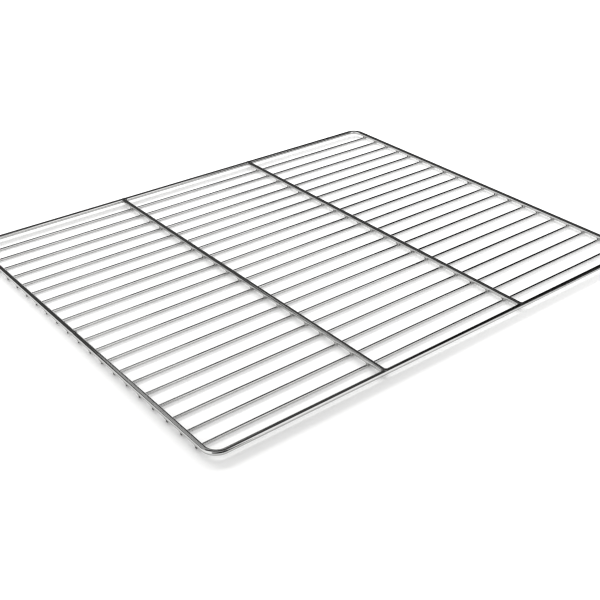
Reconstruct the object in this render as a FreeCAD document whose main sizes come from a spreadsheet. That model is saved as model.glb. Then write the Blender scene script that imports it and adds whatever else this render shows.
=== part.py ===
import FreeCAD, Part
import math
import os
import Sketcher

# A welded stainless steel wire grid, gastronorm 2/1 size.
#
# One thick wire is bent into a rectangular rim with rounded corners and closed
# with a butt weld. Two crossbars of the same wire stand between its long sides,
# end on. A row of thin grid wires, all parallel to the long sides, is spot
# welded to the underside of the rim's short sides and of the crossbars, so the
# grid rests on its thin wires.
#
# Frame: millimetres, +X along the long sides, +Y along the crossbars, +Z up.
# The origin is in the middle of the grid, on the plane that it rests on.

DIMENSIONS = {
    "overall_length": 650.0,    # outside of the rim, along X
    "overall_width": 530.0,     # outside of the rim, along Y
    "rim_diameter": 6.0,
    "corner_radius": 15.0,      # bend radius of the rim wire's middle line
    "butt_weld_radius": 3.2,    # the ring of weld metal where the rim's ends meet
    "butt_weld_reach": 3.6,     # from the ring's middle to where it fades out inside the wire
    "butt_weld_shift": 0.3,     # the ring stands inwards, because its outside is ground flush
    "crossbar_diameter": 6.0,
    "crossbar_spacing": 214.0,  # between the crossbars' middle lines
    "crossbar_inset": 0.6,      # how far a crossbar's end sinks into the rim
    "wire_diameter": 3.0,
    "wire_count": 20,
    "wire_pitch": 25.0,
    "wire_end_gap": 1.0,        # from a wire's end to the outside of the rim
    "wire_end_chamfer": 0.4,
    "weld_set_down": 0.5,       # how far a thin wire sinks into a thick one
}
WIRE_COUNT = DIMENSIONS["wire_count"]

# Places and lengths that pieces share, as expressions of the sheet's cells.
RIM_RADIUS = "sheet.rim_diameter / 2"
CROSSBAR_RADIUS = "sheet.crossbar_diameter / 2"
WIRE_RADIUS = "sheet.wire_diameter / 2"
RIM_HALF_LENGTH = "(sheet.overall_length - sheet.rim_diameter) / 2"
RIM_HALF_WIDTH = "(sheet.overall_width - sheet.rim_diameter) / 2"
RIM_HEIGHT = "sheet.wire_diameter - sheet.weld_set_down + sheet.rim_diameter / 2"
CROSSBAR_X = "sheet.crossbar_spacing / 2"
CROSSBAR_LENGTH = "sheet.overall_width - 2 * (sheet.rim_diameter - sheet.crossbar_inset)"
WIRE_LENGTH = "sheet.overall_length - 2 * sheet.wire_end_gap"
WIRE_ROW_LENGTH = "(sheet.wire_count - 1) * sheet.wire_pitch"

# The ends of a line or an arc, and a circle's middle, as Sketcher numbers them.
START, END, MIDDLE = 1, 2, 3
ORIGIN = (-1, START)
HORIZONTAL_AXIS, VERTICAL_AXIS = -1, -2
UP = FreeCAD.Vector(0, 0, 1)

doc = FreeCAD.newDocument("wire_grid")


def make_sheet():
    """The spreadsheet of driving dimensions, a name and a value on each row."""
    sheet = doc.addObject("Spreadsheet::Sheet", "sheet")
    for row, (alias, value) in enumerate(DIMENSIONS.items(), start=1):
        sheet.set(f"A{row}", alias)
        sheet.set(f"B{row}", str(value))
        sheet.setAlias(f"B{row}", alias)
    doc.recompute()


def new_body(label):
    """An empty body, named for the piece that it becomes."""
    body = doc.addObject("PartDesign::Body", label)
    body.Label = label
    return body


def origin_feature(body, role):
    """One of the body's own origin planes or axes."""
    return next(feature for feature in body.Origin.OriginFeatures if feature.Role == role)


def new_sketch(body, name, plane):
    """An empty sketch on one of the body's origin planes."""
    sketch = body.newObject("Sketcher::SketchObject", name)
    sketch.AttachmentSupport = [(origin_feature(body, plane), "")]
    sketch.MapMode = "FlatFace"
    return sketch


def bind(sketch, name, expression, kind, *where):
    """Adds a dimension that follows an expression of the sheet's cells."""
    value = float(sketch.evalExpression(expression))
    index = sketch.addConstraint(Sketcher.Constraint(kind, *where, value))
    sketch.renameConstraint(index, name)
    sketch.setExpression(f"Constraints.{name}", expression)


def add_circle(sketch, name, radius, right=None, up=None):
    """A circle. right and up place its middle from the sketch's origin, and None is zero."""
    circle = sketch.addGeometry(Part.Circle(FreeCAD.Vector(1, 1, 0), UP, 1))
    bind(sketch, f"{name}_radius", radius, "Radius", circle)
    if right is None:
        sketch.addConstraint(Sketcher.Constraint("PointOnObject", circle, MIDDLE, VERTICAL_AXIS))
    else:
        bind(sketch, f"{name}_right", right, "DistanceX", *ORIGIN, circle, MIDDLE)
    if up is None:
        sketch.addConstraint(Sketcher.Constraint("PointOnObject", circle, MIDDLE, HORIZONTAL_AXIS))
    else:
        bind(sketch, f"{name}_up", up, "DistanceY", *ORIGIN, circle, MIDDLE)


def pad_rod(body, plane, radius, length):
    """A round rod, square to the plane and centred on it."""
    section = new_sketch(body, "section", plane)
    add_circle(section, "rod", radius)
    pad = body.newObject("PartDesign::Pad", "rod")
    pad.Profile = section
    pad.Midplane = True
    pad.setExpression("Length", length)
    doc.recompute()
    return pad


def cut(body, name, sketch, length=None):
    """Cuts the sketch's outline both ways from its plane: to a total length, or through all."""
    before = body.Shape.Volume
    pocket = body.newObject("PartDesign::Pocket", name)
    pocket.Profile = sketch
    pocket.Midplane = True
    if length is None:
        pocket.Type = "ThroughAll"
    else:
        pocket.setExpression("Length", length)
    doc.recompute()
    if not body.Shape.Volume < before:
        raise RuntimeError(f"{body.Label}: {name} cuts nothing")
    return pocket


def cut_wire_seats(body):
    """The hollows on the underside, along X, that the grid wires sink into."""
    sketch = new_sketch(body, "seat_outline", "YZ_Plane")
    drop = f"-({RIM_RADIUS} + {WIRE_RADIUS} - sheet.weld_set_down)"
    add_circle(sketch, "wire", WIRE_RADIUS, right=f"-{WIRE_ROW_LENGTH} / 2", up=drop)
    seat = cut(body, "wire_seat", sketch)

    row = body.newObject("PartDesign::LinearPattern", "wire_seats")
    row.Originals = [seat]
    row.Direction = (origin_feature(body, "Y_Axis"), [""])
    row.setExpression("Length", WIRE_ROW_LENGTH)
    row.setExpression("Occurrences", "sheet.wire_count")
    body.Tip = row


def draw_rim_path(body):
    """The rim wire's middle line: a rectangle with rounded corners, centred on the origin."""
    sketch = new_sketch(body, "rim_path", "XY_Plane")
    bend = DIMENSIONS["corner_radius"]
    arc_middle_x = (DIMENSIONS["overall_length"] - DIMENSIONS["rim_diameter"]) / 2 - bend
    arc_middle_y = (DIMENSIONS["overall_width"] - DIMENSIONS["rim_diameter"]) / 2 - bend

    # Anticlockwise from the near right corner. Each side runs into the corner of its number.
    arcs = []
    for turn, (side_x, side_y) in enumerate(((1, -1), (1, 1), (-1, 1), (-1, -1))):
        middle = FreeCAD.Vector(side_x * arc_middle_x, side_y * arc_middle_y, 0)
        start = math.radians(90 * (turn - 1))
        arc = Part.ArcOfCircle(Part.Circle(middle, UP, bend), start, start + math.pi / 2)
        arcs.append(sketch.addGeometry(arc))
    sides = []
    for turn in range(4):
        ends = (sketch.getPoint(arcs[turn - 1], END), sketch.getPoint(arcs[turn], START))
        sides.append(sketch.addGeometry(Part.LineSegment(*ends)))

    for turn in range(4):
        direction = "Vertical" if turn % 2 else "Horizontal"
        sketch.addConstraint(Sketcher.Constraint("Tangent", arcs[turn - 1], END, sides[turn], START))
        sketch.addConstraint(Sketcher.Constraint("Tangent", sides[turn], END, arcs[turn], START))
        sketch.addConstraint(Sketcher.Constraint(direction, sides[turn]))
    for turn in range(1, 4):
        sketch.addConstraint(Sketcher.Constraint("Equal", arcs[0], arcs[turn]))
    bind(sketch, "bend", "sheet.corner_radius", "Radius", arcs[0])
    bind(sketch, "near", RIM_HALF_WIDTH, "DistanceY", sides[0], START, *ORIGIN)
    bind(sketch, "right", RIM_HALF_LENGTH, "DistanceX", *ORIGIN, sides[1], START)
    bind(sketch, "far", RIM_HALF_WIDTH, "DistanceY", *ORIGIN, sides[2], START)
    bind(sketch, "left", RIM_HALF_LENGTH, "DistanceX", sides[3], START, *ORIGIN)
    return sketch


def bend_rim(body):
    """Sweeps the wire's round section along the rim's path."""
    path = draw_rim_path(body)
    section = new_sketch(body, "rim_section", "YZ_Plane")
    add_circle(section, "rim", RIM_RADIUS, right=f"-{RIM_HALF_WIDTH}")
    doc.recompute()

    pipe = body.newObject("PartDesign::AdditivePipe", "bent_wire")
    pipe.Profile = section
    pipe.Spine = (path, [f"Edge{number + 1}" for number in range(len(path.Shape.Edges))])
    doc.recompute()


def add_butt_weld(body):
    """The ring of weld metal in the middle of the left side, turned from an arc on its chord."""
    sketch = new_sketch(body, "weld_outline", "XY_Plane")
    shift = f"sheet.butt_weld_shift - {RIM_HALF_LENGTH}"
    sketch.setExpression("AttachmentOffset.Base.x", shift)
    reach, radius = DIMENSIONS["butt_weld_reach"], DIMENSIONS["butt_weld_radius"]
    near, crown, far = (
        FreeCAD.Vector(0, -reach, 0),
        FreeCAD.Vector(radius, 0, 0),
        FreeCAD.Vector(0, reach, 0),
    )
    arc = sketch.addGeometry(Part.Arc(near, crown, far))
    chord = sketch.addGeometry(Part.LineSegment(far, near))
    sketch.addConstraint(Sketcher.Constraint("Coincident", arc, END, chord, START))
    sketch.addConstraint(Sketcher.Constraint("Coincident", chord, END, arc, START))
    sketch.addConstraint(Sketcher.Constraint("Symmetric", chord, START, chord, END, *ORIGIN))
    sketch.addConstraint(Sketcher.Constraint("Vertical", chord))
    bind(sketch, "reach", "2 * sheet.butt_weld_reach", "DistanceY", chord, END, chord, START)
    arc_radius = "(sheet.butt_weld_reach ^ 2 + sheet.butt_weld_radius ^ 2) / (2 * sheet.butt_weld_radius)"
    bind(sketch, "arc", arc_radius, "Radius", arc)

    weld = body.newObject("PartDesign::Revolution", "butt_weld")
    weld.Profile = sketch
    weld.ReferenceAxis = (sketch, ["V_Axis"])
    weld.Angle = 360
    doc.recompute()


def cut_crossbar_seats(body):
    """The flats on the inside of the long sides that the crossbars' ends are welded to."""
    sketch = new_sketch(body, "crossbar_outline", "XZ_Plane")
    add_circle(sketch, "left", CROSSBAR_RADIUS, right=f"-{CROSSBAR_X}")
    add_circle(sketch, "right", CROSSBAR_RADIUS, right=CROSSBAR_X)
    cut(body, "crossbar_seats", sketch, CROSSBAR_LENGTH)


def make_rim():
    """The rim: one bent wire, its butt weld, and the seats for what is welded to it."""
    body = new_body("rim_wire")
    bend_rim(body)
    add_butt_weld(body)
    cut_crossbar_seats(body)
    cut_wire_seats(body)
    body.setExpression("Placement.Base.z", RIM_HEIGHT)
    return body


def make_crossbar(label, side):
    """A crossbar, with the seats for the grid wires. side is -1 on the left and 1 on the right."""
    body = new_body(label)
    pad_rod(body, "XZ_Plane", CROSSBAR_RADIUS, CROSSBAR_LENGTH)
    cut_wire_seats(body)
    body.setExpression("Placement.Base.x", f"{side} * {CROSSBAR_X}")
    body.setExpression("Placement.Base.z", RIM_HEIGHT)
    return body


def make_grid_wire(number):
    """A thin wire with chamfered ends. Wire 1 is next to the near long side."""
    body = new_body(f"grid_wire_{number:02d}")
    rod = pad_rod(body, "YZ_Plane", WIRE_RADIUS, WIRE_LENGTH)
    rims = [
        f"Edge{index}"
        for index, edge in enumerate(rod.Shape.Edges, start=1)
        if isinstance(edge.Curve, Part.Circle)
    ]
    chamfer = body.newObject("PartDesign::Chamfer", "sheared_ends")
    chamfer.Base = (rod, rims)
    chamfer.setExpression("Size", "sheet.wire_end_chamfer")
    place = f"({number} - (sheet.wire_count + 1) / 2) * sheet.wire_pitch"
    body.setExpression("Placement.Base.y", place)
    body.setExpression("Placement.Base.z", WIRE_RADIUS)
    return body


def check(pieces):
    """Stops if any object failed to compute, or a piece isn't one valid solid."""
    for item in doc.Objects:
        if {"Invalid", "Error"} & set(item.State):
            raise RuntimeError(f"{item.Name}: {item.State}")
    for piece in pieces:
        if piece.Shape.isNull() or not piece.Shape.isValid():
            raise RuntimeError(f"{piece.Label}: the shape is null or not valid")
        if len(piece.Shape.Solids) != 1:
            raise RuntimeError(f"{piece.Label}: {len(piece.Shape.Solids)} solids")


def export(pieces):
    """Writes each piece to a STEP file of its own."""
    os.makedirs("parts", exist_ok=True)
    for piece in pieces:
        piece.Shape.exportStep(f"parts/{piece.Label}.step")


make_sheet()
grid = [make_rim(), make_crossbar("crossbar_left", -1), make_crossbar("crossbar_right", 1)]
grid += [make_grid_wire(number) for number in range(1, WIRE_COUNT + 1)]
doc.recompute()
check(grid)
export(grid)
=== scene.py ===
import math

import bpy
import numpy as np
from mathutils import Matrix, Vector


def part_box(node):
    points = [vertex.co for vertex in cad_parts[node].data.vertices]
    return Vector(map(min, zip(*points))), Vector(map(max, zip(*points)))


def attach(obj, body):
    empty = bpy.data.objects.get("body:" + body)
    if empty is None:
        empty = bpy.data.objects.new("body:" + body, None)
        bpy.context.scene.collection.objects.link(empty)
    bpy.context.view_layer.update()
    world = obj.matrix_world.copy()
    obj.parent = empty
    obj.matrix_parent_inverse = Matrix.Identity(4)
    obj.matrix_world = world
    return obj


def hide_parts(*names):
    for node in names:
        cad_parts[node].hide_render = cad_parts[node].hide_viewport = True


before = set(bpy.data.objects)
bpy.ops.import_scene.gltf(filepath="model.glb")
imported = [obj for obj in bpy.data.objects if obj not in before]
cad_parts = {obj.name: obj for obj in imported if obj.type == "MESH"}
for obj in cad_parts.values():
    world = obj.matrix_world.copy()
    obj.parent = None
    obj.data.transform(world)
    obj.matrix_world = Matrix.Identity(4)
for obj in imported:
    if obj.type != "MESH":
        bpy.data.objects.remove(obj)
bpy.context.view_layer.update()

# The looks of a welded stainless steel wire grid. Each CAD wire is replaced by a finer mesh of the
# same wire, the weld metal at the crossings is added, and all of it is polished steel. The grid lies
# on a white glossy floor under soft studio light. Metres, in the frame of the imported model: +X along
# the grid wires, +Y along the crossbars, +Z up, and z = 0 is the floor.

MM = 0.001
rng = np.random.default_rng(7)

# ---------------------------------------------------------------- sizes, from the frame

WIRE_NODES = sorted(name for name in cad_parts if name.startswith("grid_wire_"))
CROSSBAR_NODES = ["crossbar_left", "crossbar_right"]

rim_low, rim_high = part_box("rim_wire")
bar_low, bar_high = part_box(CROSSBAR_NODES[0])
wire_low, wire_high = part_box(WIRE_NODES[0])

THICK_RADIUS = (bar_high.z - bar_low.z) / 2
THICK_HEIGHT = (bar_high.z + bar_low.z) / 2
WIRE_RADIUS = (wire_high.z - wire_low.z) / 2
WIRE_HALF_LENGTH = wire_high.x
RIM_X = rim_high.x - THICK_RADIUS
RIM_Y = rim_high.y - THICK_RADIUS
CROSSBAR_END = bar_high.y
CROSSBAR_X = [(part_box(node)[0].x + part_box(node)[1].x) / 2 for node in CROSSBAR_NODES]
WIRE_Y = [(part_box(node)[0].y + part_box(node)[1].y) / 2 for node in WIRE_NODES]
SUPPORT_X = [-RIM_X, *CROSSBAR_X, RIM_X]

BEND_RADIUS = 15 * MM       # of the rim wire's middle line at a corner
UP = np.array([0.0, 0.0, 1.0])


# ---------------------------------------------------------------- mesh tools

def new_piece(name, vertices, faces, material, nodes=()):
    """A mesh piece that rides on the only body, and stands for CAD nodes."""
    mesh = bpy.data.meshes.new(name)
    mesh.from_pydata([tuple(v) for v in vertices], [], faces)
    mesh.materials.append(material)
    mesh.polygons.foreach_set("use_smooth", [True] * len(mesh.polygons))
    piece = bpy.data.objects.new(name, mesh)
    bpy.context.scene.collection.objects.link(piece)
    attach(piece, "root")
    if nodes:
        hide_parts(*nodes)
    return piece


def set_wire_coords(piece, coords):
    """Each vertex's place along and round its wire, as if the wire were straight along X."""
    attribute = piece.data.attributes.new("wire_coords", "FLOAT_VECTOR", "POINT")
    attribute.data.foreach_set("vector", np.asarray(coords, np.float32).ravel())


def sweep(path, radii, closed):
    """A tube round a level path: vertices, outward faces, and the vertices' wire coordinates.

    path is the middle line, and radii has a row for each of its points and a column for each
    vertex of the ring there. Column 0 is on the right of the way along, and the next are above."""
    path = np.asarray(path, float)
    count, sides = radii.shape
    if closed:
        ahead = np.roll(path, -1, axis=0)
        behind = np.roll(path, 1, axis=0)
    else:
        ahead = np.vstack([path[1:], path[-1:]])
        behind = np.vstack([path[:1], path[:-1]])
    tangent = ahead - behind
    tangent /= np.linalg.norm(tangent, axis=1)[:, None]
    right = np.cross(tangent, UP)
    right /= np.linalg.norm(right, axis=1)[:, None]
    above = np.cross(right, tangent)

    turn = np.linspace(0, 2 * math.pi, sides, endpoint=False)
    across = radii * np.cos(turn)
    upward = radii * np.sin(turn)
    rings = path[:, None] + across[..., None] * right[:, None] + upward[..., None] * above[:, None]

    steps = np.linalg.norm(np.diff(path, axis=0), axis=1)
    distance = np.concatenate([[0], np.cumsum(steps)])
    coords = np.stack([np.repeat(distance[:, None], sides, axis=1), across, upward], axis=2)

    faces = []
    for ring in range(count if closed else count - 1):
        following = (ring + 1) % count
        for side in range(sides):
            beside = (side + 1) % sides
            faces.append((
                ring * sides + side,
                following * sides + side,
                following * sides + beside,
                ring * sides + beside,
            ))
    if not closed:
        faces.append(tuple(range(sides)))
        faces.append(tuple((count - 1) * sides + side for side in range(sides - 1, -1, -1)))
    return rings.reshape(-1, 3), faces, coords.reshape(-1, 3)


# ---------------------------------------------------------------- the rim

RIM_SIDES = 48
BEND_STEPS = 20
STRAIGHT_STEP = 6 * MM
BUTT_REACH = 3.6 * MM       # from the butt weld's middle to where its ring fades out
BUTT_STEP = 0.3 * MM
BUTT_HEIGHT = 0.2 * MM      # how far the ring stands out above and below
BUTT_INSIDE = 0.5 * MM      # and on the inside of the grid
BUTT_OUTSIDE = -0.1 * MM    # the outside is ground nearly flush
BUTT_CROWN = 1.2            # how sharply the ring's height falls off, from its middle
BUTT_RIPPLES = ((5, 0.12, 0.6), (9, 0.08, 2.1))     # waves round it: how many, their height and phase
CORNERS = ((-1, -1), (1, -1), (1, 1), (-1, 1))


def straight(start, end, step):
    """Points from start to end, evenly spaced by about step, without the last one."""
    count = max(1, round(math.dist(start, end) / step))
    share = np.arange(count)[:, None] / count
    return np.array(start) + share * (np.array(end) - np.array(start))


def on_bend(corner, turn):
    """The place on the rim's middle line at that angle round a corner's bend."""
    side_x, side_y = corner
    x = side_x * (RIM_X - BEND_RADIUS) + BEND_RADIUS * np.cos(turn)
    y = side_y * (RIM_Y - BEND_RADIUS) + BEND_RADIUS * np.sin(turn)
    return np.stack([x, y], axis=-1)


def rim_path():
    """The rim's middle line, anticlockwise from the butt weld in the middle of the left side."""
    inner_y = RIM_Y - BEND_RADIUS
    weld_edge = BUTT_REACH * 1.2
    points = [
        straight((-RIM_X, 0), (-RIM_X, -weld_edge), BUTT_STEP),
        straight((-RIM_X, -weld_edge), (-RIM_X, -inner_y), STRAIGHT_STEP),
    ]
    for index, corner in enumerate(CORNERS):
        first = math.pi + index * math.pi / 2
        last = first + math.pi / 2
        points.append(on_bend(corner, first + np.arange(BEND_STEPS) / BEND_STEPS * math.pi / 2))
        if index < 3:
            here = on_bend(corner, last)
            there = on_bend(CORNERS[index + 1], last)
            points.append(straight(here, there, STRAIGHT_STEP))
    points.append(straight((-RIM_X, inner_y), (-RIM_X, weld_edge), STRAIGHT_STEP))
    points.append(straight((-RIM_X, weld_edge), (-RIM_X, 0), BUTT_STEP))
    flat = np.vstack(points)
    return np.column_stack([flat, np.full(len(flat), THICK_HEIGHT)])


def butt_weld_radii(path):
    """The rim wire's radius, with the butt weld's ring in the middle of the left side."""
    turn = np.linspace(0, 2 * math.pi, RIM_SIDES, endpoint=False)
    away = np.clip(np.abs(path[:, 1]) / BUTT_REACH, 0, 1)
    on_left = path[:, 0] < -RIM_X + BEND_RADIUS / 2
    crown = np.where(on_left, np.cos(away * math.pi / 2) ** BUTT_CROWN, 0)
    ripple = 1 + sum(height * np.sin(count * turn + phase) for count, height, phase in BUTT_RIPPLES)
    # The rim runs anticlockwise, so its outside is at turn 0 and its inside at half a turn.
    outside = np.clip(np.cos(turn), 0, None) ** 2
    inside = np.clip(-np.cos(turn), 0, None) ** 2
    height = BUTT_HEIGHT + (BUTT_OUTSIDE - BUTT_HEIGHT) * outside
    height = height + (BUTT_INSIDE - BUTT_HEIGHT) * inside
    return THICK_RADIUS + crown[:, None] * (height * ripple)[None, :]


def make_rim(material):
    """The rim: one wire with four bends, closed by a butt weld."""
    path = rim_path()
    vertices, faces, coords = sweep(path, butt_weld_radii(path), closed=True)
    piece = new_piece("rim_steel", vertices, faces, material, ["rim_wire"])
    set_wire_coords(piece, coords)


# ---------------------------------------------------------------- crossbars and grid wires

CROSSBAR_SIDES = 48
WIRE_SIDES = 32
WIRE_CHAMFER = 0.4 * MM
SHEAR_ANGLE = 35            # degrees, above which an edge stays sharp
WIRE_SWAY = 0.22 * MM       # how far a grid wire strays sideways between its welds
WIRE_LIFT = 0.10 * MM       # and upwards
CROSSBAR_BOW = (-1.0 * MM, -0.4 * MM)   # how far each crossbar strays in X at mid-length
END_INSET = 0.05 * MM       # keeps a crossbar's end out of the rim's own surface


def bowed(bow, y):
    """How far a crossbar strays in X at that place along it."""
    return bow * (1 - (y / CROSSBAR_END) ** 2)


def make_crossbar(node, x, bow, material):
    """A crossbar: a slightly bowed wire whose ends are buried in the rim's welds."""
    end = CROSSBAR_END - END_INSET
    path = np.vstack([straight((x, -end), (x, end), STRAIGHT_STEP), [(x, end)]])
    path[:, 0] += bowed(bow, path[:, 1])
    path = np.column_stack([path, np.full(len(path), THICK_HEIGHT)])
    radii = np.full((len(path), CROSSBAR_SIDES), THICK_RADIUS)
    vertices, faces, coords = sweep(path, radii, closed=False)
    piece = new_piece(f"{node}_steel", vertices, faces, material, [node])
    piece.data.set_sharp_from_angle(angle=math.radians(SHEAR_ANGLE))
    set_wire_coords(piece, coords)


def sway(x):
    """A curve that is zero at every weld and bows by up to 1 either way between them."""
    bow = np.zeros_like(x)
    for start, end in zip(SUPPORT_X[:-1], SUPPORT_X[1:]):
        share = (x - start) / (end - start)
        inside = (share > 0) & (share < 1)
        shape = np.sin(math.pi * share) * rng.uniform(-1, 1)
        shape += np.sin(2 * math.pi * share) * rng.uniform(-0.5, 0.5)
        bow += np.where(inside, shape, 0)
    return bow


def make_wire(node, y, material):
    """A grid wire: nearly straight, with its ends, cut by shearing, chamfered."""
    inner = WIRE_HALF_LENGTH - WIRE_CHAMFER
    middle = straight((-inner, 0), (inner, 0), STRAIGHT_STEP)[:, 0]
    x = np.concatenate([[-WIRE_HALF_LENGTH], middle, [inner, WIRE_HALF_LENGTH]])
    across = y + WIRE_SWAY * sway(x)
    height = WIRE_RADIUS + WIRE_LIFT * np.abs(sway(x))
    radii = np.full((len(x), WIRE_SIDES), WIRE_RADIUS)
    radii[[0, -1]] -= WIRE_CHAMFER
    path = np.stack([x, across, height], axis=1)
    vertices, faces, coords = sweep(path, radii, closed=False)
    piece = new_piece(f"{node}_steel", vertices, faces, material, [node])
    piece.data.set_sharp_from_angle(angle=math.radians(SHEAR_ANGLE))
    coords[:, 0] += rng.uniform(0, 10)
    set_wire_coords(piece, coords)


# ---------------------------------------------------------------- welds

WELD_INSET = 0.02 * MM      # the weld's surface inside the wires, so that none of it coincides
CROSSING_FILLET = 1.7 * MM
CROSSING_REACH = 5.0 * MM
CROSSING_BEAD = (4.2 * MM, 2.1 * MM, 1.0 * MM)   # half the flash squeezed out of the contact
CROSSING_SIZES = (0.8, 1.15)    # the fillets' sizes, from the least to the greatest
CROSSING_LUMPS = 0.3            # how uneven each is
BEAD_SIZES = (0.85, 1.1)
END_FILLET = 1.5 * MM
END_REACH = 6.0 * MM
END_SIZES = (0.9, 1.1)
END_LUMPS = 0.22
LUMP_WAVES = 4
LUMP_FREQUENCIES = (2, 6)       # radians over the sphere's radius
LUMP_SCALE = 2.5
WELD_TURNS = 64
WELD_RINGS = 26
RING_SPAN = 0.97                # how near the poles the last rings are
SEARCH_STEPS = 26


def directions():
    """Unit vectors over a sphere, ring by ring from its lower pole, and the faces between them."""
    height = np.sin(np.linspace(-math.pi / 2, math.pi / 2, WELD_RINGS + 2)[1:-1] * RING_SPAN)
    turn = np.linspace(0, 2 * math.pi, WELD_TURNS, endpoint=False)
    z, a = np.meshgrid(height, turn, indexing="ij")
    level = np.sqrt(1 - z ** 2)
    ring = np.stack([level * np.cos(a), level * np.sin(a), z], axis=2).reshape(-1, 3)
    vectors = np.vstack([ring, [(0, 0, -1), (0, 0, 1)]])

    faces = []
    for row in range(WELD_RINGS - 1):
        for side in range(WELD_TURNS):
            beside = (side + 1) % WELD_TURNS
            low, high = row * WELD_TURNS, (row + 1) * WELD_TURNS
            faces.append((low + side, low + beside, high + beside, high + side))
    bottom, top = len(vectors) - 2, len(vectors) - 1
    last = (WELD_RINGS - 1) * WELD_TURNS
    for side in range(WELD_TURNS):
        beside = (side + 1) % WELD_TURNS
        faces.append((bottom, beside, side))
        faces.append((top, last + side, last + beside))
    return vectors, faces


SPHERE, SPHERE_FACES = directions()


def filleted(first, second, fillet):
    """The distance to two solids joined with a round fillet, from the distances to each."""
    near_first = np.clip(fillet - first, 0, None)
    near_second = np.clip(fillet - second, 0, None)
    outside = np.maximum(fillet, np.minimum(first, second))
    return outside - np.sqrt(near_first ** 2 + near_second ** 2)


def lumps():
    """A gentle unevenness over the sphere's directions, about -1 to 1, different at each call."""
    total = np.zeros(len(SPHERE))
    for _ in range(LUMP_WAVES):
        axis = rng.normal(size=3)
        axis /= np.linalg.norm(axis)
        total += np.sin(rng.uniform(*LUMP_FREQUENCIES) * SPHERE @ axis + rng.uniform(0, 2 * math.pi))
    return total / LUMP_SCALE


def cast(vectors, field, reach):
    """The points along vectors from the origin where field stops being negative, or at reach."""
    inner = np.zeros(len(vectors))
    outer = np.full(len(vectors), reach)
    for _ in range(SEARCH_STEPS):
        middle = (inner + outer) / 2
        solid = field(vectors * middle[:, None]) < -WELD_INSET
        inner = np.where(solid, middle, inner)
        outer = np.where(solid, outer, middle)
    return vectors * inner[:, None]


def crossing_weld(x, y):
    """The weld where a grid wire passes under a thick wire, squeezed out round the contact."""
    contact = 2 * WIRE_RADIUS - (2 * WIRE_RADIUS - (THICK_HEIGHT - THICK_RADIUS)) / 2
    fillet = CROSSING_FILLET * rng.uniform(*CROSSING_SIZES) * (1 + CROSSING_LUMPS * lumps())
    bead = np.array(CROSSING_BEAD) * rng.uniform(*BEAD_SIZES)

    def field(point):
        """The distance to the two wires, from the contact between them."""
        thick = np.hypot(point[:, 0], point[:, 2] + contact - THICK_HEIGHT) - THICK_RADIUS
        thin = np.hypot(point[:, 1], point[:, 2] + contact - WIRE_RADIUS) - WIRE_RADIUS
        flash = (np.linalg.norm(point / bead, axis=1) - 1) * bead[2]
        past_end = np.abs(point[:, 0] + x) - (WIRE_HALF_LENGTH - WIRE_CHAMFER)
        return filleted(thick, np.maximum(np.minimum(thin, flash), past_end), fillet)

    return cast(SPHERE, field, CROSSING_REACH) + np.array([x, y, contact])


def end_weld(x, side):
    """The weld round a crossbar's end, against the inside of the rim. side is -1 or 1 in Y."""
    middle = RIM_Y - THICK_RADIUS - END_FILLET / 2
    fillet = END_FILLET * rng.uniform(*END_SIZES) * (1 + END_LUMPS * lumps())
    # The sphere's poles are turned onto the crossbar's own line.
    vectors = SPHERE[:, [1, 2, 0]]

    def field(point):
        """The distance to the rim and the crossbar, which stops at the rim's middle line."""
        to_rim = side * point[:, 1] + middle - RIM_Y
        rim = np.hypot(to_rim, point[:, 2]) - THICK_RADIUS
        bar = np.maximum(np.hypot(point[:, 0], point[:, 2]) - THICK_RADIUS, to_rim)
        return filleted(rim, bar, fillet)

    return cast(vectors, field, END_REACH) + np.array([x, side * middle, THICK_HEIGHT])


def make_welds(name, blobs, material):
    """One piece that holds several welds."""
    vertices = np.vstack(blobs)
    faces = []
    for number in range(len(blobs)):
        start = number * len(SPHERE)
        faces += [tuple(start + index for index in face) for face in SPHERE_FACES]
    new_piece(name, vertices, faces, material)


# ---------------------------------------------------------------- materials

# Noise is scaled per metre: along, across and above a wire, or in X, Y and Z.
FINE_DETAIL = 5.0                   # layers of noise in the scuffs and in the weld's grain
DIE_LINES = (25, 4200, 4200)
DIE_LINE_BUMP = (0.12, 0.02 * MM)   # strength and depth
POLISH_CLOUDS = (60, 260, 260)
SCUFFS = (420, 1500, 1500)
SCUFF_WEAR = (0.7, 1.5)             # how much of the lines' roughness the scuffs leave or add
WEAR_RANGE = (0.25, 0.75)           # of the worn lines, from the smooth to the rough

THICK_STEEL = ((0.49, 0.49, 0.485), (0.57, 0.57, 0.565))
THICK_ROUGHNESS = (0.06, 0.15)
THIN_STEEL = ((0.54, 0.54, 0.535), (0.62, 0.62, 0.615))
THIN_ROUGHNESS = (0.05, 0.12)
SHEARED_X = (WIRE_HALF_LENGTH - WIRE_CHAMFER, WIRE_HALF_LENGTH - WIRE_CHAMFER + 0.1 * MM)
# painted shade: the cut ends' near-black colour stands in for the shade round the wire ends under the
# rim
SHEARED_END_PAINTED_SHADE = (0.10, 0.098, 0.095)
SHEARED_ROUGHNESS = 0.35            # more than the polished wire's

WELD_STEEL = ((0.24, 0.235, 0.23), (0.46, 0.46, 0.455))
WELD_ROUGHNESS = (0.18, 0.42)
WELD_GRAIN = (1400, 1400, 1400)
WELD_GRAIN_BUMP = (0.5, 0.08 * MM)
WELD_STAIN = (450, 450, 450)

FLOOR_COLOUR = (0.93, 0.93, 0.925)
FLOOR_SPECULAR = 0.35
FLOOR_HAZE = (6, 6, 6)
FLOOR_ROUGHNESS = (0.30, 0.36)
FLOOR_PAINTED_GLOW = (0.10, 0.16)           # painted light: the floor's own glow, at the near left corner and elsewhere
DIAGONAL = (0.7, 0.7, 0)            # from the near left corner to the far right one
GLOW_FROM_CORNER = (-0.34, -0.18)   # metres along the diagonal, over which it comes up
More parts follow.
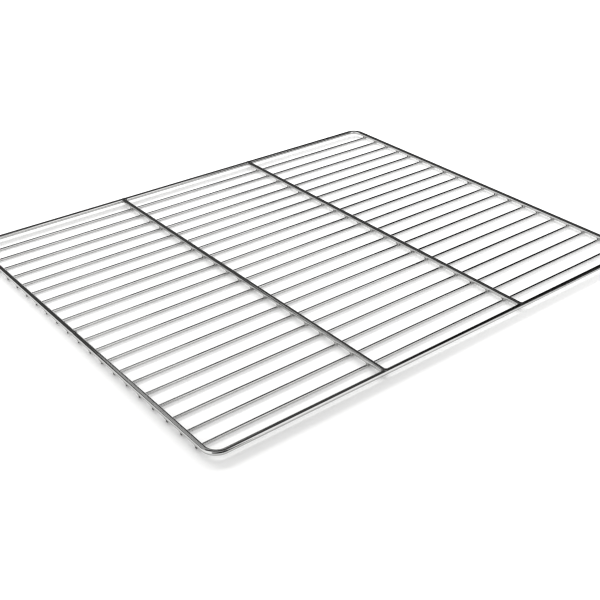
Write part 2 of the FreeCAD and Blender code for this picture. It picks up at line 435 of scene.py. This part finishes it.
# More painted glow of the floor on every side: the axis, the metres over which it comes up, and how much
# there is.
SIDE_PAINTED_GLOWS = (
    ("X", -0.06, 0.22, 0.10),
    ("X", 0.40, 0.80, 0.30),
    ("X", -0.34, -0.375, 0.30),
    ("Y", -0.285, -0.36, 0.25),
    ("Y", 0.50, 1.00, 0.30),
)

CARD_GRAIN = (300, 300, 300)
CARD_SHADES = (0.9, 1.1)            # of its grey
ABOVE_FLOOR = (0.2 * MM, 0.3 * MM)  # a ray that starts below this comes from the floor


def feed(tree, socket, value):
    """Gives a node's input a value, or links it to another node's output."""
    if isinstance(value, bpy.types.NodeSocket):
        tree.links.new(value, socket)
    else:
        socket.default_value = value


def add(tree, kind, **settings):
    """A node of that kind. A setting is one of its properties, or else what feeds one of its inputs."""
    node = tree.nodes.new(kind)
    for name, value in settings.items():
        if hasattr(node, name):
            setattr(node, name, value)
        else:
            feed(tree, node.inputs[name.replace("_", " ")], value)
    return node


def calculate(tree, operation, *values):
    """The result of a math node, from numbers or other nodes' outputs."""
    node = add(tree, "ShaderNodeMath", operation=operation)
    for socket, value in zip(node.inputs, values):
        feed(tree, socket, value)
    return node.outputs[0]


def along(tree, vector, axis):
    """How far the vector goes along an axis."""
    return add(tree, "ShaderNodeSeparateXYZ", Vector=vector).outputs[axis]


def dot_product(tree, first, second):
    """The dot product of another node's output and a fixed vector."""
    node = add(tree, "ShaderNodeVectorMath", operation="DOT_PRODUCT")
    feed(tree, node.inputs[0], first)
    feed(tree, node.inputs[1], second)
    return node.outputs["Value"]


def stretched_noise(tree, source, stretch, detail=3.0, roughness=0.55):
    """Noise over the source's vector times stretch: its value from 0 to 1."""
    stretched = add(tree, "ShaderNodeMapping", Vector=source, Scale=stretch).outputs["Vector"]
    noise = add(
        tree, "ShaderNodeTexNoise",
        Vector=stretched, Scale=1.0, Detail=detail, Roughness=roughness,
    )
    return noise.outputs["Fac"]


def spread(tree, value, low, high, start=0.3, end=0.7):
    """The value's range from start to end, carried over to low to high."""
    node = add(tree, "ShaderNodeMapRange", clamp=True)
    for socket, setting in zip(node.inputs, (value, start, end, low, high)):
        feed(tree, socket, setting)
    return node.outputs[0]


def mix_colour(tree, factor, first, second):
    """A colour from the first, which may be another node's output, to the second."""
    if not isinstance(first, bpy.types.NodeSocket):
        first = (*first, 1)
    node = add(tree, "ShaderNodeMix", data_type="RGBA")
    feed(tree, node.inputs["Factor"], factor)
    feed(tree, node.inputs["A"], first)
    feed(tree, node.inputs["B"], (*second, 1))
    return node.outputs["Result"]


def node_material(name):
    """An empty node material, and its tree."""
    material = bpy.data.materials.new(name)
    material.use_nodes = True
    material.node_tree.nodes.clear()
    return material, material.node_tree


def object_coords(tree):
    """Each point's place on its object, in metres."""
    return add(tree, "ShaderNodeTexCoord").outputs["Object"]


def finish_steel(tree, colour, roughness, height, bump):
    """Ends a material with bare steel, and a bump of some strength and depth from the height."""
    strength, depth = bump
    relief = add(tree, "ShaderNodeBump", Strength=strength, Distance=depth, Height=height)
    steel = add(
        tree, "ShaderNodeBsdfPrincipled",
        Metallic=1.0, Base_Color=colour, Roughness=roughness, Normal=relief.outputs["Normal"],
    )
    add(tree, "ShaderNodeOutputMaterial", Surface=steel.outputs["BSDF"])


def polished_steel(name, colours, roughness, dull_shaded_ends=False):
    """Bright drawn wire: faint lines along it from the drawing die, and cloudy polish marks.

    If asked for, the wires' cut ends are duller, and painted dark: painted shade for the shade round
    them under the rim."""
    material, tree = node_material(name)
    coords = add(tree, "ShaderNodeAttribute", attribute_name="wire_coords").outputs["Vector"]
    lines = stretched_noise(tree, coords, DIE_LINES)
    clouds = stretched_noise(tree, coords, POLISH_CLOUDS)
    scuffs = stretched_noise(tree, coords, SCUFFS, detail=FINE_DETAIL)

    colour = mix_colour(tree, clouds, *colours)
    wear = calculate(tree, "MULTIPLY", lines, spread(tree, scuffs, *SCUFF_WEAR))
    dullness = spread(tree, wear, *roughness, *WEAR_RANGE)
    if dull_shaded_ends:
        # the cut ends: painted shade in their colour, and their real dullness in their roughness
        away = calculate(tree, "ABSOLUTE", along(tree, object_coords(tree), "X"))
        ends = spread(tree, away, 0, 1, *SHEARED_X)
        colour = mix_colour(tree, ends, colour, SHEARED_END_PAINTED_SHADE)
        dullness = calculate(tree, "MULTIPLY_ADD", ends, SHEARED_ROUGHNESS, dullness)
    finish_steel(tree, colour, dullness, lines, DIE_LINE_BUMP)
    return material


def weld_steel():
    """Weld metal: uneven, duller than the wire, and slightly darkened by the heat."""
    material, tree = node_material("weld_steel")
    grain = stretched_noise(tree, object_coords(tree), WELD_GRAIN, detail=FINE_DETAIL)
    stain = stretched_noise(tree, object_coords(tree), WELD_STAIN)
    colour = mix_colour(tree, stain, *WELD_STEEL)
    finish_steel(tree, colour, spread(tree, grain, *WELD_ROUGHNESS), grain, WELD_GRAIN_BUMP)
    return material


def floor_material():
    """A white, slightly glossy sheet that glows with painted light of its own, least at its near left.
    """
    material, tree = node_material("white_sheet")
    coords = object_coords(tree)
    painted_glow = spread(tree, dot_product(tree, coords, DIAGONAL), *FLOOR_PAINTED_GLOW, *GLOW_FROM_CORNER)
    for axis, start, end, amount in SIDE_PAINTED_GLOWS:
        more = spread(tree, along(tree, coords, axis), 0, amount, start, end)
        painted_glow = calculate(tree, "ADD", painted_glow, more)

    haze = stretched_noise(tree, coords, FLOOR_HAZE)
    # painted light: the floor's glow is its own emission
    sheet = add(
        tree, "ShaderNodeBsdfPrincipled",
        Base_Color=(*FLOOR_COLOUR, 1), Specular_IOR_Level=FLOOR_SPECULAR,
        Roughness=spread(tree, haze, *FLOOR_ROUGHNESS),
        Emission_Color=(1, 1, 1, 1), Emission_Strength=painted_glow,
    )
    add(tree, "ShaderNodeOutputMaterial", Surface=sheet.outputs["BSDF"])
    return material


def from_above_floor(tree):
    """1 for a ray that set out above the floor, such as from the steel, and 0 for one from the floor."""
    place = add(tree, "ShaderNodeNewGeometry")
    length = add(tree, "ShaderNodeLightPath").outputs["Ray Length"]
    start = add(tree, "ShaderNodeVectorMath", operation="MULTIPLY_ADD")
    back_to_start = (place.outputs["Incoming"], length, place.outputs["Position"])
    for socket, value in zip(start.inputs, back_to_start):
        feed(tree, socket, value)
    return spread(tree, along(tree, start.outputs["Vector"], "Z"), 0, 1, *ABOVE_FLOOR)


def card_material(name, grey):
    """Card with a faint grain, which the floor doesn't mirror."""
    material, tree = node_material(name)
    grain = stretched_noise(tree, object_coords(tree), CARD_GRAIN)
    colour = mix_colour(tree, grain, *([grey * shade] * 3 for shade in CARD_SHADES))
    card = add(tree, "ShaderNodeBsdfDiffuse", Color=colour)
    clear = add(tree, "ShaderNodeBsdfTransparent")
    shown = add(tree, "ShaderNodeMixShader", Fac=from_above_floor(tree))
    feed(tree, shown.inputs[1], clear.outputs["BSDF"])
    feed(tree, shown.inputs[2], card.outputs["BSDF"])
    add(tree, "ShaderNodeOutputMaterial", Surface=shown.outputs["Shader"])
    return material


# ---------------------------------------------------------------- studio

FLOOR_HALF = 6.0
AMBIENT = 0.79              # the even light on the floor, apart from what the steel mirrors
PLAIN_WHITE = 1.0           # what the camera sees past the floor
WALL_LIGHT = 1.4            # the white walls all round, in the steel
KEY_LIGHT = 1.5             # the soft light above and behind the camera
GAP_LIGHT = 0.08            # the unlit space overhead, beyond the grid
WALL_TOP = (5, 11)          # degrees of elevation, over which the walls end
GAP = (30, 38)              # degrees of azimuth from +Y towards +X, and of elevation
GAP_EDGE = (0.17, 0.27)     # cosine of the angle to the gap's middle, over which the gap starts
OPENING = (88, 8)           # an unlit break in the walls, on the right
OPENING_EDGE = (0.67, 0.73)
LOW_LIGHT = 52.0            # watts, of the low strip light, which the steel doesn't mirror
LOW_LIGHT_PLACE = (0.5, 2.0, 1.15)
LOW_LIGHT_SIZE = (2.4, 0.35)
LOW_LIGHT_AIM = (-0.3, -0.26, 0.0)
# Each card that the steel mirrors: its name, its corners and its grey.
CARDS = (
    (
        "dark_card",
        ((-0.84, -0.52, 0), (-0.04, -0.72, 0), (-0.04, -0.72, 0.55), (-0.84, -0.52, 0.55)),
        0.015,
    ),
    (
        "right_card",
        ((0.57, -0.64, 0), (1.30, -0.45, 0), (1.30, -0.45, 0.65), (0.57, -0.64, 0.65)),
        0.03,
    ),
    (
        "grey_card",
        ((-0.65, -0.15, 0.2), (-0.14, -0.15, 0.2), (-0.14, 0.17, 0.2), (-0.65, 0.17, 0.2)),
        0.42,
    ),
)


def towards(azimuth, elevation):
    """The unit vector at an azimuth, from +Y towards +X, and an elevation, both in degrees."""
    azimuth, elevation = math.radians(azimuth), math.radians(elevation)
    return Vector((
        math.sin(azimuth) * math.cos(elevation),
        math.cos(azimuth) * math.cos(elevation),
        math.sin(elevation),
    ))


def make_sheet(name, corners, material):
    """A flat four-cornered part of the studio."""
    mesh = bpy.data.meshes.new(name)
    mesh.from_pydata(corners, [], [(0, 1, 2, 3)])
    mesh.materials.append(material)
    sheet = bpy.data.objects.new(name, mesh)
    bpy.context.scene.collection.objects.link(sheet)
    return sheet


def make_floor():
    """A wide white floor that the grid lies on."""
    corners = [(-1, -1), (1, -1), (1, 1), (-1, 1)]
    corners = [(x * FLOOR_HALF, y * FLOOR_HALF, 0) for x, y in corners]
    make_sheet("floor", corners, floor_material())


def make_card(name, corners, grey):
    """A card beside the grid, which only the steel mirrors."""
    card = make_sheet(name, corners, card_material(name, grey))
    card.visible_camera = False
    card.visible_diffuse = False
    card.visible_shadow = False


def background(tree, strength):
    """White light of that strength from all round."""
    return add(tree, "ShaderNodeBackground", Color=(1, 1, 1, 1), Strength=strength).outputs[0]


def make_surroundings():
    """What the steel mirrors: white walls, a soft light behind the camera, and unlit spaces."""
    world = bpy.data.worlds.new("studio")
    bpy.context.scene.world = world
    world.use_nodes = True
    tree = world.node_tree
    tree.nodes.clear()

    direction = add(tree, "ShaderNodeTexCoord").outputs["Generated"]
    low_edge, high_edge = (math.sin(math.radians(angle)) for angle in WALL_TOP)
    above_walls = spread(tree, along(tree, direction, "Z"), 0, 1, low_edge, high_edge)
    to_gap = dot_product(tree, direction, towards(*GAP))
    overhead = spread(tree, to_gap, KEY_LIGHT, GAP_LIGHT, *GAP_EDGE)
    to_opening = dot_product(tree, direction, towards(*OPENING))
    opening = spread(tree, to_opening, 1, GAP_LIGHT, *OPENING_EDGE)
    walls = add(
        tree, "ShaderNodeMix",
        data_type="FLOAT", Factor=above_walls, A=WALL_LIGHT, B=overhead,
    )
    mirrored = calculate(tree, "MULTIPLY", walls.outputs["Result"], opening)

    path = add(tree, "ShaderNodeLightPath")
    light = add(tree, "ShaderNodeMixShader", Fac=path.outputs["Is Glossy Ray"])
    feed(tree, light.inputs[1], background(tree, AMBIENT))
    feed(tree, light.inputs[2], background(tree, mirrored))
    seen = add(tree, "ShaderNodeMixShader", Fac=path.outputs["Is Camera Ray"])
    feed(tree, seen.inputs[1], light.outputs["Shader"])
    feed(tree, seen.inputs[2], background(tree, PLAIN_WHITE))
    add(tree, "ShaderNodeOutputWorld", Surface=seen.outputs["Shader"])


def make_low_light():
    """A low strip light beyond the grid, for the shadow outside the near corner."""
    data = bpy.data.lights.new("low_light", "AREA")
    data.energy = LOW_LIGHT
    data.shape = "RECTANGLE"
    data.size, data.size_y = LOW_LIGHT_SIZE
    light = bpy.data.objects.new("low_light", data)
    light.visible_glossy = False
    light.visible_camera = False
    bpy.context.scene.collection.objects.link(light)
    back = Vector(LOW_LIGHT_PLACE) - Vector(LOW_LIGHT_AIM)
    light.matrix_world = back.to_track_quat("Z", "Y").to_matrix().to_4x4()
    light.location = LOW_LIGHT_PLACE


# ---------------------------------------------------------------- camera

AIM = (-0.079, -0.089, 0.0)
VIEW_DISTANCE = 1.137
VIEW_AZIMUTH = -39.53       # degrees: 0 looks along +Y, and less than 0 is from the left
VIEW_ELEVATION = 30.85
VIEW_ROLL = 0.71
LENS = 58.8                 # millimetres
SENSOR = 36.0
FILTER_WIDTH = 1.2          # pixels, narrow enough for wires that are two pixels thick


def make_camera():
    """The camera, at the photograph's viewing angle."""
    data = bpy.data.cameras.new("camera")
    data.lens = LENS
    data.sensor_width = SENSOR
    data.clip_start = 10 * MM
    camera = bpy.data.objects.new("camera", data)
    bpy.context.scene.collection.objects.link(camera)
    back = towards(180 - VIEW_AZIMUTH, VIEW_ELEVATION)
    right = Vector((0, 0, 1)).cross(back).normalized()
    above = back.cross(right)
    facing = Matrix((right, above, back)).transposed()
    facing = facing @ Matrix.Rotation(math.radians(VIEW_ROLL), 3, "Z")
    camera.matrix_world = Matrix.Translation(Vector(AIM) + back * VIEW_DISTANCE) @ facing.to_4x4()
    bpy.context.scene.camera = camera


# ---------------------------------------------------------------- the scene

WELD_ROWS = ("rim_left", "crossbar_left", "crossbar_right", "rim_right")

thick_steel = polished_steel("thick_wire_steel", THICK_STEEL, THICK_ROUGHNESS)
thin_steel = polished_steel("grid_wire_steel", THIN_STEEL, THIN_ROUGHNESS, dull_shaded_ends=True)
weld_metal = weld_steel()

make_rim(thick_steel)
for node, x, bow in zip(CROSSBAR_NODES, CROSSBAR_X, CROSSBAR_BOW):
    make_crossbar(node, x, bow, thick_steel)
for node, y in zip(WIRE_NODES, WIRE_Y):
    make_wire(node, y, thin_steel)

for row, x, bow in zip(WELD_ROWS, SUPPORT_X, (0, *CROSSBAR_BOW, 0)):
    blobs = [crossing_weld(x + bowed(bow, y), y) for y in WIRE_Y]
    make_welds(f"welds_{row}", blobs, weld_metal)
ends = [end_weld(x, side) for x in CROSSBAR_X for side in (-1, 1)]
make_welds("welds_crossbar_ends", ends, weld_metal)

make_floor()
make_surroundings()
make_low_light()
for card in CARDS:
    make_card(*card)
make_camera()
bpy.context.scene.view_settings.view_transform = "Standard"
bpy.context.scene.cycles.filter_width = FILTER_WIDTH
